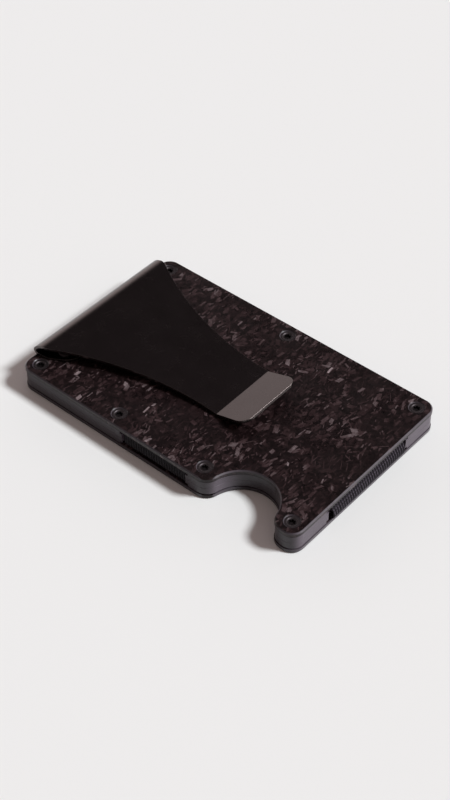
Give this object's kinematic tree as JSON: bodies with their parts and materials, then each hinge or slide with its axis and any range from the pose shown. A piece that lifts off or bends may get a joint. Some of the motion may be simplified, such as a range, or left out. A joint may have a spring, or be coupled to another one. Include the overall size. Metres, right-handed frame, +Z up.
{
  "type": "card holder with money clip",
  "caption": "Slim two-plate card holder held together by elastic, with a thumb notch and a sprung money clip on its upper cover.",
  "frame": {"origin": "under the middle of the holder, on the surface that it lies on", "axes": "+X along the long side, from the clip's fold to the end with the thumb notch; +Y from the notched long side to the open side where the cards go in; +Z up, out of the cover that carries the clip"},
  "size_m": [0.0856, 0.054, 0.0104],
  "materials": {
    "cover": "forged carbon composite, chopped chips under a satin resin",
    "frame": "dark grey anodised, fine bead blast",
    "screw": "dark steel, turned",
    "elastic": "woven elastic with fine ribs along the stretch",
    "clip": "spring steel with a satin black coating"
  },
  "bodies": {
    "lower_half": {"lower_cover": "cover", "lower_frame": "frame", "lower_screws": "screw", "end_band": "elastic", "front_band": "elastic"},
    "upper_half": {"upper_cover": "cover", "upper_frame": "frame", "upper_screws": "screw", "clip_leg": "clip", "clip_screws": "screw"},
    "blade": {"clip_blade": "clip"}
  },
  "joints": [
    {"name": "card_spread", "type": "slide", "parent": "lower_half", "child": "upper_half", "axis": [0, 0, 1], "range_m": [0, 0.008], "stiffness_N_per_m": 900, "springref_m": -0.002, "deforming": ["end_band", "front_band"]},
    {"name": "clip_lift", "type": "hinge", "parent": "upper_half", "child": "blade", "pos_m": [-0.0408, 0, 0.0085], "axis": [0, -1, 0], "range_deg": [0, 4.5], "stiffness_Nm_per_rad": 1.2, "springref_deg": -1.72}
  ]
}
